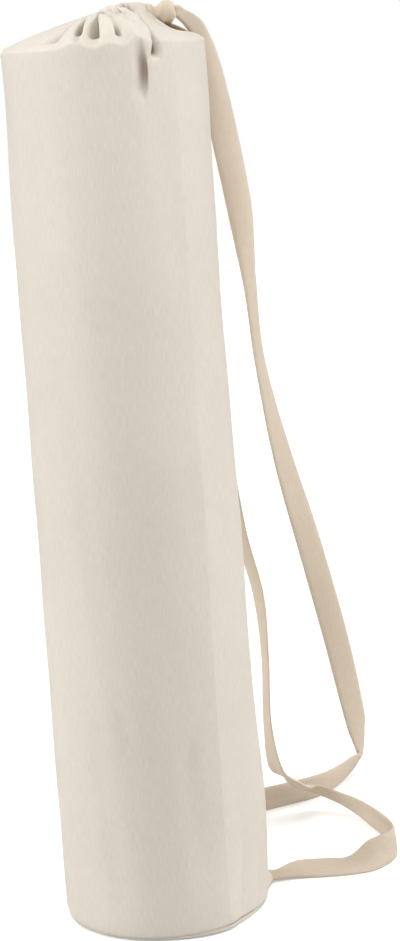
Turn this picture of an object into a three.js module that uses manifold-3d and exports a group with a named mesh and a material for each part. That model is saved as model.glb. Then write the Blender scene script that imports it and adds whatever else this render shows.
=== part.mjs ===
// A cotton canvas bag for a rolled exercise mat, standing upright on its round base.
// Its top is gathered by a flat tape that runs in the hem, leaves it through a knot, hangs down
// as two strands, lies on the floor and is sewn into the base seam at both ends.
// Millimetres, +Z up, origin on the floor at the centre of the base. The front faces -Y.
// A turn is an angle round the bag in degrees: 0 is the front, 90 the right (+X), 180 the back.
import * as THREE from 'three';
import { mergeVertices } from 'three/addons/utils/BufferGeometryUtils.js';
import Module from 'manifold-3d';

const wasm = await Module();
wasm.setup();

// Driving dimensions of the canvas tube
const bagHeight = 650; // floor to the top rim
const rimRadius = 73.4; // outside of the cloth at the top rim
const baseRadius = 77.8; // outside of the cloth just above the base seam
const canvas = 1.6; // thickness of the cloth walls
const rimRound = 3; // radius of the bend where the side turns in over the top
const cornerRound = 9; // height of the tucked-in corner above the base seam
const cornerTuck = 2.4; // how far the cloth tucks in at the base seam
const seamRound = 3.6; // how far in from the seam the base panel is rounded up
const seamHeight = 2.2; // height of the base seam above the floor
const seamRise = 2.6; // how much higher the seam rolls up at the front right
const seamRiseTurn = 38; // middle of that stretch
const seamRiseHalf = 50; // its half width in degrees
const dentDepth = 2; // depth of a dent whose share is 1
const columnPitch = 4.2; // widest step between two columns of faces, in degrees
const rimBend = 70; // angle through which the side bends in over the rim, in degrees

// Driving dimensions of the gathered top
const crownRise = 19.6; // from the rim up to the middle of the gathered hem
const hemTilt = 2.2; // how much higher the hem stands at its right end
const crownPuff = 3; // how far the top cloth swells between the rim and the hem
const frontPuff = 5; // how much more it swells at the front
const frontPuffHalf = 42; // half width of that swell in degrees
const hemRoll = 5.4; // radius of the scrunched hem with the tape inside
const mouthLength = 26; // middle of the hem to middle of the hem, left to right
const mouthDepth = 24; // the same, front to back
const mouthOffset = 17; // how far the mouth is drawn towards the right
const foldDepth = 5.5; // depth of a gather fold whose share is 1
const foldStart = 0.5; // share of the way in over which a fold grows to its full depth
const puckers = 11; // small puckers round the hem
const puckerDepth = 1.2;
const knotDent = 13; // how far the knot presses down the top on its side
const knotDentTurn = 95; // middle of that side
const knotDentHalf = 75; // its half width in degrees

// Driving dimensions of the tape
const tapeWidth = 24;
const tapeThickness = 2.2;
const knotRadius = 8.4;
const rolledWidth = 0.36; // share of the tape's width left where it is rolled or gathered
const tapeStep = 17; // length of one straight piece of the swept tape

// Clearance between pieces that touch
const touch = 0.3;

const canvasColour = new THREE.MeshStandardMaterial({ color: 0xd9d2c5, roughness: 0.92, metalness: 0 });
const baseColour = new THREE.MeshStandardMaterial({ color: 0xcfc7b9, roughness: 0.92, metalness: 0 });
const tapeColour = new THREE.MeshStandardMaterial({ color: 0xd3bf9f, roughness: 0.88, metalness: 0 });

// The folds of the gathered top. rim and mouth are the turns at which the fold crosses the rim and
// the hem. depth is a share of foldDepth. width is its half width at the rim in degrees.
// reach is where it fades out: 0 at the rim, 1 at the hem, and below 0 down the side.
const folds = [
  { rim: -110, mouth: -108, depth: 0.5, width: 11, reach: 0.45 },
  { rim: -21, mouth: -74, depth: 1.0, width: 6, reach: -0.02 },
  { rim: -14, mouth: -60, depth: 0.9, width: 4, reach: 0.1 },
  { rim: -3, mouth: -42, depth: 0.9, width: 6, reach: -0.04 },
  { rim: 11, mouth: -24, depth: 1.0, width: 7, reach: -0.04 },
  { rim: 29, mouth: 14, depth: 1.0, width: 6, reach: -0.34 },
  { rim: 66, mouth: 60, depth: 0.5, width: 13, reach: 0.5 },
  { rim: 118, mouth: 112, depth: 0.8, width: 10, reach: 0.05 },
  { rim: 140, mouth: 138, depth: 1.0, width: 9, reach: -0.15 },
  { rim: 163, mouth: 162, depth: 0.9, width: 9, reach: 0 },
  { rim: 184, mouth: 186, depth: 1.0, width: 9, reach: -0.2 },
  { rim: 207, mouth: 210, depth: 0.9, width: 9, reach: 0.05 },
  { rim: 229, mouth: 231, depth: 0.9, width: 8, reach: -0.05 },
];

// Dents (above 0) and ridges (below 0) of the side. depth is a share of dentDepth, width the half
// width in degrees, up the height of its middle and tall its half height, as shares of bagHeight.
// A sharp one comes to a crease, the others are round.
const sideForms = [
  { turn: 34, depth: -0.55, width: 17, up: 0.5, tall: 1.4, sharp: true }, // edge of the roll inside
  { turn: -60, depth: -0.35, width: 15, up: 0.5, tall: 1.4, sharp: true }, // start of the left flat
  { turn: 22, depth: 1.7, width: 7, up: 0.965, tall: 0.05, sharp: true }, // hollow below a top fold
  { turn: 24, depth: -1.6, width: 28, up: 0, tall: 0.09, sharp: false }, // bulge of the front corner
  { turn: 103, depth: -4, width: 14, up: 0.012, tall: 0.046, sharp: false }, // cloth the tape pulls
  { turn: 90, depth: -1.3, width: 36, up: 0.13, tall: 0.15, sharp: false }, // swell low on the right
  { turn: 88, depth: 0.9, width: 40, up: 0.68, tall: 0.3, sharp: false },
  { turn: -88, depth: 0.8, width: 36, up: 0.93, tall: 0.14, sharp: false },
  { turn: 46, depth: 0.7, width: 7, up: 0.045, tall: 0.06, sharp: true }, // folds above the corner
  { turn: 62, depth: 0.6, width: 8, up: 0.04, tall: 0.06, sharp: true },
  { turn: 6, depth: 0.45, width: 9, up: 0.245, tall: 0.05, sharp: false }, // shallow dents
  { turn: 205, depth: 0.6, width: 14, up: 0.62, tall: 0.12, sharp: false },
  { turn: 150, depth: 0.5, width: 12, up: 0.3, tall: 0.1, sharp: false },
];

// Where the tape is sewn into the base seam
const shortEndTurn = 103;
const longEndTurn = 180;

const radians = THREE.MathUtils.degToRad;
const { lerp, clamp, smoothstep } = THREE.MathUtils;

// Round the bag: a point at a turn, a distance out from the axis and a height
function around(turn, out, z) {
  return new THREE.Vector3(out * Math.sin(radians(turn)), -out * Math.cos(radians(turn)), z);
}

// Smallest signed difference between two turns
function turnBetween(a, b) {
  return ((a - b + 540) % 360) - 180;
}

// 1 in the middle of a form and 0 from its edge on, with a crease or a round bottom
function creased(distance) {
  return (1 - Math.min(Math.abs(distance), 1)) ** 2;
}

function rounded(distance) {
  return (1 - Math.min(Math.abs(distance), 1) ** 2) ** 2;
}

// How far the side is pushed in (below 0) or out at a turn and a height
function sideForm(turn, z) {
  let push = 0;
  for (const form of sideForms) {
    const across = turnBetween(turn, form.turn) / form.width;
    const along = (z / bagHeight - form.up) / form.tall;
    const shape = form.sharp ? creased(across) : rounded(across);
    push -= form.depth * dentDepth * shape * rounded(along);
  }
  return push;
}

// How far the gather folds push the cloth in at a turn and a share of the way from rim to hem
function foldForm(turn, inward) {
  let push = 0;
  for (const fold of folds) {
    const across = turnBetween(turn, fold.rim) / fold.width;
    const grown = smoothstep(inward, fold.reach, fold.reach + foldStart);
    push -= fold.depth * foldDepth * creased(across) * grown;
  }
  return push;
}

// The turn at the hem of the cloth that crosses the rim at a given turn
function mouthTurn(turn) {
  for (let k = 0; k < folds.length; k += 1) {
    const here = folds[k];
    const next = folds[(k + 1) % folds.length];
    const span = (next.rim - here.rim + 360) % 360;
    const past = (turn - here.rim + 720) % 360;
    if (past < span) {
      return here.mouth + (past / span) * ((next.mouth - here.mouth + 360) % 360);
    }
  }
  return turn;
}

// The columns of faces: one on each fold and form, and even steps between them
function makeColumns() {
  const keys = new Set();
  for (const fold of folds) keys.add((fold.rim + 360) % 360);
  for (const form of sideForms) keys.add((form.turn + 360) % 360);
  const sorted = [...keys].sort((a, b) => a - b);
  const turns = [];
  sorted.forEach((key, index) => {
    const next = index + 1 < sorted.length ? sorted[index + 1] : sorted[0] + 360;
    const steps = Math.max(1, Math.round((next - key) / columnPitch));
    for (let step = 0; step < steps; step += 1) turns.push(key + ((next - key) * step) / steps);
  });
  return turns;
}

const columns = makeColumns();

// Height of the base seam: it rolls up at the front right
function seamTop(turn) {
  return seamHeight + seamRise * rounded(turnBetween(turn, seamRiseTurn) / seamRiseHalf);
}

// Radius of the plain side at a height, with its tucked-in lower corner
function sideRadius(z) {
  const tuck = cornerTuck * (1 - clamp(z / cornerRound, 0, 1)) ** 2;
  return lerp(baseRadius, rimRadius, z / bagHeight) - tuck;
}

// Centre of the scrunched hem's round section at a turn of the mouth
function hemCentre(turn, grow) {
  return new THREE.Vector3(
    mouthOffset + (mouthLength / 2 + grow) * Math.sin(radians(turn)),
    -(mouthDepth / 2 + grow) * Math.cos(radians(turn)),
    bagHeight + crownRise + hemTilt * Math.sin(radians(turn)),
  );
}

// A point on the scrunched hem: angle 0 faces out, 90 up and 180 into the mouth
function hemPoint(turn, angle) {
  const at = mouthTurn(turn);
  const roll = hemRoll - puckerDepth * Math.sin(radians((at * puckers) / 2)) ** 2;
  const point = hemCentre(at, roll * Math.cos(radians(angle)));
  point.z += roll * Math.sin(radians(angle));
  return point;
}

const hemFoot = -10; // angle at which the top cloth meets the hem

// A point of the plain top cloth, 0 at the rim and 1 at the hem, pressed down under the knot
function crownPoint(turn, inward) {
  const rimEnd = around(turn, rimRadius - rimRound * (1 - Math.cos(radians(rimBend))), bagHeight);
  const foot = hemPoint(turn, hemFoot);
  const point = rimEnd.clone().lerp(foot, inward);
  const pressed = rounded(turnBetween(turn, knotDentTurn) / knotDentHalf);
  const puff = crownPuff + frontPuff * rounded(turnBetween(turn, 0) / frontPuffHalf);
  point.z += puff * (1 - pressed) * rounded((inward - 0.42) / 0.6);
  point.z -= knotDent * pressed * rounded((inward - 0.78) / 0.5);
  return point;
}

// The rows of the outer surface, from the base seam up the side, over the rim and in to the hem.
// up is the share of the side's height, bend the angle round the rim, inward the share of the top.
const sideRows = [0, 0.008, 0.028, 0.07, 0.22, 0.45, 0.7, 0.87, 0.935, 0.972];
const bendRows = [0, rimBend / 2, rimBend];
const crownRows = [0.22, 0.45, 0.68, 0.88];
const hemRows = [hemFoot, 25, 65, 105, 155, 210];
const crownSpan = rimRadius - mouthLength; // about how far it is from the rim in to the hem
const bendShare = 0.08; // the bend's part of that way
const foldCalm = 0.35; // share of its depth that a fold loses by the time it meets the hem

function clothRows() {
  const rows = [];
  for (const up of sideRows) {
    rows.push({
      level: true,
      point: (turn) => {
        const low = seamTop(turn) + touch / 2;
        const z = lerp(low, bagHeight - rimRound, up);
        return around(turn, sideRadius(z), z);
      },
      push: (turn, z) => sideForm(turn, z) + foldForm(turn, (z - bagHeight) / crownSpan),
    });
  }
  for (const bend of bendRows) {
    rows.push({
      point: (turn) => around(
        turn,
        rimRadius - rimRound * (1 - Math.cos(radians(bend))),
        bagHeight - rimRound * (1 - Math.sin(radians(bend))),
      ),
      push: (turn, z) => sideForm(turn, z) + foldForm(turn, (bend / rimBend - 1) * bendShare),
    });
  }
  for (const inward of crownRows) {
    rows.push({
      point: (turn) => crownPoint(turn, inward),
      push: (turn) => foldForm(turn, inward) * (1 - foldCalm * inward),
    });
  }
  return rows;
}

// A closed solid from rings of points, each ring with one point for each column
function ringSolid(rings, closeRound) {
  const positions = [];
  const faces = [];
  const count = rings[0].length;
  for (const ring of rings) for (const point of ring) positions.push(point.x, point.y, point.z);
  const last = closeRound ? rings.length : rings.length - 1;
  for (let row = 0; row < last; row += 1) {
    const next = (row + 1) % rings.length;
    for (let column = 0; column < count; column += 1) {
      const beside = (column + 1) % count;
      const a = row * count + column;
      const b = row * count + beside;
      const c = next * count + beside;
      const d = next * count + column;
      faces.push(a, b, c, a, c, d);
    }
  }
  if (!closeRound) {
    faces.push(...discFaces(count, 0, true));
    faces.push(...discFaces(count, (rings.length - 1) * count, false));
  }
  const geometry = new THREE.BufferGeometry();
  geometry.setAttribute('position', new THREE.Float32BufferAttribute(positions, 3));
  geometry.setIndex(faces);
  return geometry;
}

// Faces across a flat ring: a middle triangle and three fans round it
function discFaces(count, first, facesDown) {
  const faces = [];
  const corners = [0, Math.round(count / 3), Math.round((2 * count) / 3)];
  const add = (a, b, c) => faces.push(first + a, first + (facesDown ? c : b), first + (facesDown ? b : c));
  add(...corners);
  corners.forEach((corner, index) => {
    const end = index === 2 ? count : corners[index + 1];
    for (let k = corner + 1; k < end; k += 1) add(corner, k, (k + 1) % count);
  });
  return faces;
}

function namedMesh(name, geometry, material) {
  geometry.computeVertexNormals();
  const mesh = new THREE.Mesh(geometry, material);
  mesh.name = name;
  return mesh;
}

// The canvas tube: a wall with an outer and an inner side, gathered at the top into a rolled hem
// that stays open in the middle, and open below, where the base panel closes it
function makeBagBody() {
  const rows = clothRows();
  const plain = rows.map((row) => columns.map((turn) => row.point(turn)));
  plain.push(columns.map((turn) => hemPoint(turn, hemFoot)));
  const outer = [];
  const inner = [];
  rows.forEach((row, r) => {
    const outerRing = [];
    const innerRing = [];
    columns.forEach((turn, c) => {
      const before = (c + columns.length - 1) % columns.length;
      const after = (c + 1) % columns.length;
      const across = plain[r][after].clone().sub(plain[r][before]);
      const along = plain[r + 1][c].clone().sub(plain[Math.max(r - 1, 0)][c]);
      const out = across.cross(along);
      if (row.level) out.z = 0;
      out.normalize();
      const push = row.push(turn, plain[r][c].z);
      outerRing.push(plain[r][c].clone().addScaledVector(out, push));
      innerRing.push(plain[r][c].clone().addScaledVector(out, push - canvas));
    });
    outer.push(outerRing);
    inner.push(innerRing);
  });
  const hem = hemRows.map((angle) => columns.map((turn) => hemPoint(turn, angle)));
  const rings = [...outer, ...hem, ...inner.reverse()];
  return namedMesh('bag_body', ringSolid(rings, true), canvasColour);
}

// Outside radius of the cloth at the base seam, which the base panel follows
function seamRadius(turn) {
  const z = seamTop(turn);
  return sideRadius(z) + sideForm(turn, z);
}

// The round base panel: a flat disc whose edge turns up to the seam
function makeBasePanel() {
  const edge = (inset, height) => columns.map((turn) => (
    around(turn, seamRadius(turn) - inset, height(seamTop(turn) - touch / 2))
  ));
  const rings = [
    edge(seamRound, () => 0),
    edge(seamRound / 4, (top) => top / 3),
    edge(0, (top) => top),
    edge(canvas, (top) => top),
    edge(seamRound, () => canvas),
  ];
  return namedMesh('base_panel', ringSolid(rings, false), baseColour);
}

// Height of the gathered top straight above a point beside the mouth on the right
function crownTopAt(x) {
  const foot = hemPoint(90, hemFoot).x;
  const inward = clamp((rimRadius - x) / (rimRadius - foot), 0, 1);
  return crownPoint(90, inward).z;
}

// The overhand knot just outside the hem on the right, resting on the top cloth. The wrap leans on
// the hem, and the ball stands over the sloping cloth by knotSeat of its radius.
const knotSeat = 1.12;
const knotReach = 1.25; // from the hem's outside to the middle of the ball, in ball radii
const knotBack = 0.36; // how far behind the middle of the bag it sits, in ball radii
const knotCentre = new THREE.Vector3(
  mouthOffset + mouthLength / 2 + hemRoll + knotReach * knotRadius,
  knotBack * knotRadius,
  0,
);
knotCentre.z = crownTopAt(knotCentre.x - knotRadius) + knotSeat * knotRadius + touch;

function solidOf(geometry) {
  geometry.deleteAttribute('normal');
  geometry.deleteAttribute('uv');
  const merged = mergeVertices(geometry, 1e-4);
  return new wasm.Manifold(new wasm.Mesh({
    numProp: 3,
    vertProperties: new Float32Array(merged.attributes.position.array),
    triVerts: new Uint32Array(merged.index.array),
  }));
}

function makeKnot() {
  const ball = new THREE.SphereGeometry(knotRadius, 12, 8);
  ball.rotateX(Math.PI / 2);
  ball.scale(0.85, 1, 1);
  const wrap = new THREE.TorusGeometry(0.62 * knotRadius, 0.45 * knotRadius, 7, 12);
  wrap.rotateY(radians(78));
  wrap.rotateX(radians(12));
  wrap.translate(-0.6 * knotRadius, 0, 0.05 * knotRadius);
  const band = new THREE.TorusGeometry(0.66 * knotRadius, 0.42 * knotRadius, 7, 14);
  band.rotateX(radians(64));
  band.rotateZ(radians(20));
  let solid = solidOf(ball);
  for (const piece of [wrap, band]) solid = solid.add(solidOf(piece));
  const mesh = solid.getMesh();
  const geometry = new THREE.BufferGeometry();
  geometry.setAttribute('position', new THREE.Float32BufferAttribute(mesh.vertProperties, 3));
  geometry.setIndex([...mesh.triVerts]);
  const knot = namedMesh('strap_knot', geometry, tapeColour);
  knot.position.copy(knotCentre);
  return knot;
}

// The strands of tape. x and y are shares of baseRadius, low is the height of the tape's lowest
// edge as a share of bagHeight. face is the direction of the tape's width seen from above, in
// degrees from +X, and rise its angle above level. wide and thick are shares of the tape's size:
// the tape is rolled narrow at the knot and gathered where it is sewn in.
const longRoute = [
  { x: 0.765, y: 0.13, low: 1.0175, face: 188, rise: -76, wide: 0.4, thick: 1.9 },
  { x: 0.845, y: 0.30, low: 1.0085, face: 190, rise: -58, wide: 0.5, thick: 1.6 },
  { x: 0.925, y: 0.54, low: 0.996, face: 194, rise: -42, wide: 0.62, thick: 1.3 },
  { x: 0.99, y: 0.66, low: 0.972, face: 200, rise: -24, wide: 0.78, thick: 1.1 },
  { x: 1.045, y: 0.75, low: 0.94, face: 207, rise: -8, wide: 0.9, thick: 1 },
  { x: 1.10, y: 0.86, low: 0.9, face: 214, rise: 0, wide: 1, thick: 1 },
  { x: 1.25, y: 1.26, low: 0.79, face: 218, rise: 0, wide: 1, thick: 1 },
  { x: 1.32, y: 1.5, low: 0.70, face: 245, rise: 0, wide: 1, thick: 1 },
  { x: 1.38, y: 1.8, low: 0.60, face: 250, rise: 0, wide: 1, thick: 1 },
  { x: 1.57, y: 2.14, low: 0.47, face: 230, rise: 0, wide: 1, thick: 1 },
  { x: 1.83, y: 2.51, low: 0.34, face: 213, rise: 0, wide: 1, thick: 1 },
  { x: 2.09, y: 2.88, low: 0.20, face: 208, rise: 0, wide: 1, thick: 1 },
  { x: 2.27, y: 3.17, low: 0.085, face: 220, rise: 12, wide: 1, thick: 1 },
  { x: 2.315, y: 3.29, low: 0.042, face: 236, rise: 22, wide: 1, thick: 1 },
  { x: 2.315, y: 3.32, low: 0.016, face: 254, rise: 36, wide: 1, thick: 1 },
  { x: 2.27, y: 3.24, low: 0.003, face: 282, rise: 52, wide: 1, thick: 1 },
  { x: 2.18, y: 3.06, low: 0, face: 314, rise: 66, wide: 1, thick: 1 },
  { x: 2.0, y: 2.76, low: 0, face: 326, rise: 73, wide: 1, thick: 1 },
  { x: 1.78, y: 2.52, low: 0, face: 316, rise: 74, wide: 1, thick: 1 },
  { x: 1.43, y: 2.34, low: 0, face: 298, rise: 74, wide: 1, thick: 1 },
  { x: 1.0, y: 2.15, low: 0, face: 294, rise: 76, wide: 1, thick: 1 },
  { x: 0.5, y: 1.9, low: 0, face: 305, rise: 80, wide: 1, thick: 1 },
  { x: 0.14, y: 1.45, low: 0, face: 350, rise: 76, wide: 0.75, thick: 1.1 },
];

const shortRoute = [
  { x: 0.62, y: 0.30, low: 1.0145, face: 342, rise: 3, wide: 0.42, thick: 1.2 },
  { x: 0.69, y: 0.47, low: 1.0105, face: 335, rise: 2, wide: 0.5, thick: 1.1 },
  { x: 0.76, y: 0.64, low: 1.0035, face: 330, rise: 2, wide: 0.62, thick: 1.05 },
  { x: 0.80, y: 0.78, low: 0.975, face: 322, rise: 0, wide: 0.8, thick: 1.1 },
  { x: 0.79, y: 0.80, low: 0.88, face: 316, rise: 0, wide: 1, thick: 1 },
  { x: 0.82, y: 0.80, low: 0.72, face: 314, rise: 0, wide: 1, thick: 1 },
  { x: 0.86, y: 0.92, low: 0.56, face: 308, rise: 0, wide: 1, thick: 1 },
  { x: 1.0, y: 1.12, low: 0.42, face: 296, rise: 0, wide: 1, thick: 1 },
  { x: 1.16, y: 1.23, low: 0.33, face: 289, rise: 0, wide: 1, thick: 1 },
  { x: 1.2, y: 1.34, low: 0.24, face: 279, rise: 0, wide: 1, thick: 1 },
  { x: 1.19, y: 1.46, low: 0.15, face: 281, rise: 0, wide: 1, thick: 1 },
  { x: 1.26, y: 1.62, low: 0.08, face: 298, rise: 0, wide: 1, thick: 1 },
  { x: 1.44, y: 1.86, low: 0.053, face: 304, rise: -2, wide: 1, thick: 1 },
  { x: 1.64, y: 2.04, low: 0.036, face: 286, rise: 8, wide: 1, thick: 1 },
  { x: 1.86, y: 2.02, low: 0.015, face: 254, rise: 34, wide: 1, thick: 1 },
  { x: 2.03, y: 1.86, low: 0.003, face: 222, rise: 60, wide: 1, thick: 1 },
  { x: 2.16, y: 1.6, low: 0, face: 204, rise: 72, wide: 1, thick: 1 },
  { x: 2.3, y: 1.18, low: 0, face: 196, rise: 80, wide: 1, thick: 1 },
  { x: 2.37, y: 0.78, low: 0, face: 170, rise: 86, wide: 1, thick: 1 },
  { x: 2.31, y: 0.56, low: 0, face: 110, rise: 82, wide: 1, thick: 1 },
  { x: 2.14, y: 0.44, low: 0, face: 94, rise: 58, wide: 1, thick: 1 },
  { x: 1.9, y: 0.4, low: 0, face: 94, rise: 16, wide: 1, thick: 1 },
  { x: 1.66, y: 0.38, low: 0, face: 92, rise: 17, wide: 0.95, thick: 1 },
  { x: 1.42, y: 0.35, low: 0, face: 92, rise: 30, wide: 0.75, thick: 1.2 },
];

// The last stations: the gathered end of the tape, square to the cloth, just short of the base
// seam. flip is 0 or 180: the way up in which the tape arrives.
function sewnEnd(turn, flip) {
  const low = seamHeight / 2;
  const top = low + rolledWidth * tapeWidth;
  const out = Math.max(sideRadius(low) + sideForm(turn, low), sideRadius(top) + sideForm(turn, top));
  return [out + rolledWidth * tapeWidth, out + 2 * touch].map((reach) => (
    { end: around(turn, reach, 0), face: turn + flip, rise: 62, wide: rolledWidth, thick: 1.6, low }
  ));
}

// The first stations: the rolled tape where it leaves the knot in a given direction. drop is how far
// its lowest edge is below the middle of the ball, in ball radii.
function knotExit(direction, face, rise, drop) {
  const way = radians(direction);
  const low = knotCentre.z - drop * knotRadius;
  return [1.12 * knotRadius + touch, 1.4 * knotRadius].map((out) => {
    const end = knotCentre.clone();
    end.x += out * Math.cos(way);
    end.y += out * Math.sin(way);
    return { end, face, rise, wide: rolledWidth, thick: 2.2, low };
  });
}

// A smooth value along a list of stations
function smoothAlong(values, share) {
  const last = values.length - 1;
  const k = Math.min(Math.floor(share * last), last - 1);
  const f = share * last - k;
  const [a, b, c, d] = [-1, 0, 1, 2].map((step) => values[clamp(k + step, 0, last)]);
  const bow = 2 * a - 5 * b + 4 * c - d;
  const twist = 3 * b - a - 3 * c + d;
  const curve = 2 * b + (c - a) * f + bow * f ** 2 + twist * f ** 3;
  return curve / 2;
}

// A strand of tape: its flat section is swept from station to station, and never dips below the
// floor, because each section is set by the height of its lowest edge
function makeStrand(name, first, route, last) {
  const toStation = (row) => ({
    x: row.x * baseRadius, y: row.y * baseRadius, low: row.low * bagHeight,
    face: row.face, rise: row.rise, wide: row.wide, thick: row.thick,
  });
  const fromEnd = (row) => ({
    x: row.end.x, y: row.end.y, low: row.low,
    face: row.face, rise: row.rise, wide: row.wide, thick: row.thick,
  });
  const stations = [...first.map(fromEnd), ...route.map(toStation), ...last.map(fromEnd)];
  const column = (key) => stations.map((station) => station[key]);
  const at = (share) => {
    const value = (key) => smoothAlong(column(key), share);
    const rise = radians(value('rise'));
    const face = radians(value('face'));
    const halfWidth = (value('wide') * tapeWidth) / 2;
    const halfThick = (value('thick') * tapeThickness) / 2;
    const across = new THREE.Vector3(
      Math.cos(rise) * Math.cos(face),
      Math.cos(rise) * Math.sin(face),
      Math.sin(rise),
    );
    const z = Math.max(value('low'), 0) + halfWidth * Math.abs(across.z) + halfThick * Math.cos(rise);
    return { place: new THREE.Vector3(value('x'), value('y'), z), across, halfWidth, halfThick };
  };
  let length = 0;
  for (let k = 1; k < stations.length; k += 1) {
    const before = at((k - 1) / (stations.length - 1)).place;
    length += before.distanceTo(at(k / (stations.length - 1)).place);
  }
  const steps = Math.max(Math.round(length / tapeStep), stations.length);
  const rings = [];
  for (let step = 0; step <= steps; step += 1) {
    const share = step / steps;
    const here = at(share);
    const ahead = at(Math.min(share + 0.002, 1)).place;
    const behind = at(Math.max(share - 0.002, 0)).place;
    const along = ahead.sub(behind).normalize();
    const across = here.across.clone().addScaledVector(along, -here.across.dot(along)).normalize();
    const up = along.clone().cross(across).normalize();
    const reach = here.halfWidth * Math.abs(across.z) + here.halfThick * Math.abs(up.z);
    const low = Math.max(smoothAlong(column('low'), share), 0);
    const middle = new THREE.Vector3(here.place.x, here.place.y, low + reach);
    const corner = (side, face) => middle.clone()
      .addScaledVector(across, side * here.halfWidth)
      .addScaledVector(up, face * here.halfThick);
    rings.push([corner(-1, -1), corner(1, -1), corner(1, 1), corner(-1, 1)]);
  }
  return namedMesh(name, ringSolid(rings, false), tapeColour);
}

const bag = new THREE.Group();
bag.add(makeBagBody());
bag.add(makeBasePanel());
bag.add(makeKnot());
bag.add(makeStrand('strap_long', knotExit(8, 188, -85, 0.55), longRoute, sewnEnd(longEndTurn, 180)));
bag.add(makeStrand('strap_short', knotExit(78, 345, 5, 0.95), shortRoute, sewnEnd(shortEndTurn, 0)));

export default bag;
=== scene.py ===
import math

import bpy
import numpy as np
from mathutils import Matrix, Vector


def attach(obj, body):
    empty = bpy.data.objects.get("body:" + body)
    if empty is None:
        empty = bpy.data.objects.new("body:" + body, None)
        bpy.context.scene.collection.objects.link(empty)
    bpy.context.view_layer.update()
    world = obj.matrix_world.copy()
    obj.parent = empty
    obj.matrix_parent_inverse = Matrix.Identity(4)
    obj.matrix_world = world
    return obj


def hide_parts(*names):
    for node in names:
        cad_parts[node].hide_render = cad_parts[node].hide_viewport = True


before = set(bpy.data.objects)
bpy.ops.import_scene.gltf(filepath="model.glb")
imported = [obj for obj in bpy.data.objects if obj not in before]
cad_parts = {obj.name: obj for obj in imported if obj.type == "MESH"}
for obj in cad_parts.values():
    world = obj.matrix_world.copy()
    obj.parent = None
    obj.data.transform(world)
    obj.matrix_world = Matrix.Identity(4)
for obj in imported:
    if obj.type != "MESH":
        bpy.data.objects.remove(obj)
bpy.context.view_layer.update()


# The camera. It stands a little over 1.5 m in front of the bag, just below the height of its rim,
# tipped down and rolled by a few degrees, which makes the upright bag lean as it does in the photo.
camera_place = Vector((0.0, -1.543, 0.643))
camera_yaw = math.radians(1.79)
camera_pitch = math.radians(11.26)
camera_roll = math.radians(-4.10)
focal_pixels = 2120
photo_height_pixels = 941
sensor_mm = 36.0

camera_data = bpy.data.cameras.new("camera")
camera_data.sensor_width = sensor_mm
camera_data.lens = focal_pixels / photo_height_pixels * sensor_mm
camera = bpy.data.objects.new("camera", camera_data)
bpy.context.scene.collection.objects.link(camera)
ahead = Vector((
    math.sin(camera_yaw) * math.cos(camera_pitch),
    math.cos(camera_yaw) * math.cos(camera_pitch),
    -math.sin(camera_pitch),
))
level_right = Vector((math.cos(camera_yaw), -math.sin(camera_yaw), 0.0))
level_up = level_right.cross(ahead)
right = math.cos(camera_roll) * level_right + math.sin(camera_roll) * level_up
upward = math.cos(camera_roll) * level_up - math.sin(camera_roll) * level_right
camera.matrix_world = Matrix((
    (right.x, upward.x, -ahead.x, camera_place.x),
    (right.y, upward.y, -ahead.y, camera_place.y),
    (right.z, upward.z, -ahead.z, camera_place.z),
    (0.0, 0.0, 0.0, 1.0),
))
bpy.context.scene.camera = camera


# The floor and the light: a plain white floor in a white light tent, lit softly from above and alike
# from the left and the right, with a soft spot from in front that lights the top of the bag.
floor_half = 6.0
floor_colour = (0.85, 0.85, 0.845, 1.0)
floor_glow = 0.25
tent_strength = 0.18
backdrop_strength = 1.0
lamp_softness = 0.3


def new_material(name):
    made = bpy.data.materials.new(name)
    made.use_nodes = True
    shader = made.node_tree.nodes["Principled BSDF"]
    return made, made.node_tree.nodes, made.node_tree.links, shader


floor_data = bpy.data.meshes.new("floor")
floor_data.from_pydata(
    [
        (-floor_half, -floor_half, 0.0),
        (floor_half, -floor_half, 0.0),
        (floor_half, floor_half, 0.0),
        (-floor_half, floor_half, 0.0),
    ],
    [],
    [(0, 1, 2, 3)],
)
floor = bpy.data.objects.new("floor", floor_data)
bpy.context.scene.collection.objects.link(floor)
floor_paint, nodes, links, shader = new_material("floor_paint")
seen = nodes.new("ShaderNodeLightPath")
glow = nodes.new("ShaderNodeMath")
glow.operation = "MULTIPLY"
glow.inputs[1].default_value = floor_glow
links.new(seen.outputs["Is Camera Ray"], glow.inputs[0])
links.new(glow.outputs[0], shader.inputs["Emission Strength"])
shader.inputs["Base Color"].default_value = floor_colour
shader.inputs["Emission Color"].default_value = (1.0, 1.0, 1.0, 1.0)
shader.inputs["Roughness"].default_value = 0.85
shader.inputs["Specular IOR Level"].default_value = 0.2
floor_data.materials.append(floor_paint)

bpy.context.scene.view_settings.view_transform = "Standard"
world = bpy.data.worlds.new("light_tent")
bpy.context.scene.world = world
world.use_nodes = True
nodes, links = world.node_tree.nodes, world.node_tree.links
nodes.clear()
tent_light = nodes.new("ShaderNodeBackground")
tent_light.inputs["Strength"].default_value = tent_strength
white_backdrop = nodes.new("ShaderNodeBackground")
white_backdrop.inputs["Strength"].default_value = backdrop_strength
seen = nodes.new("ShaderNodeLightPath")
either = nodes.new("ShaderNodeMixShader")
world_out = nodes.new("ShaderNodeOutputWorld")
for background in (tent_light, white_backdrop):
    background.inputs["Color"].default_value = (1.0, 1.0, 1.0, 1.0)
links.new(seen.outputs["Is Camera Ray"], either.inputs["Fac"])
links.new(tent_light.outputs[0], either.inputs[1])
links.new(white_backdrop.outputs[0], either.inputs[2])
links.new(either.outputs[0], world_out.inputs["Surface"])


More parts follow.
